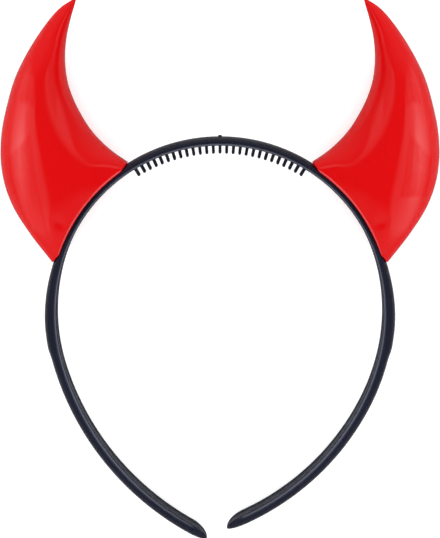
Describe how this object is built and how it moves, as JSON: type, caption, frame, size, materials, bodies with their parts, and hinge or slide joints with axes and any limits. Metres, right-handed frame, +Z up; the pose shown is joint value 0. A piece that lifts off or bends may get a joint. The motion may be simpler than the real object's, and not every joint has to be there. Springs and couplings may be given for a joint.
{
  "type": "devil horns headband",
  "caption": "Springy plastic comb headband carrying a pair of hollow curved horns, each moulded in a front and a back half.",
  "frame": {"origin": "on the surface that the headband lies on, under the middle of its outline", "axes": "+Z up, out of the front of the headband; +Y from the ends of the arms to the tips of the horns; +X to the right seen from the front"},
  "size_m": [0.163, 0.2052, 0.0234],
  "materials": {
    "black_plastic": "satin moulded black",
    "red_plastic": "glossy moulded red"
  },
  "bodies": {
    "root": {"headband": "black_plastic", "left_horn_front": "red_plastic", "left_horn_back": "red_plastic", "right_horn_front": "red_plastic", "right_horn_back": "red_plastic"}
  },
  "joints": []
}
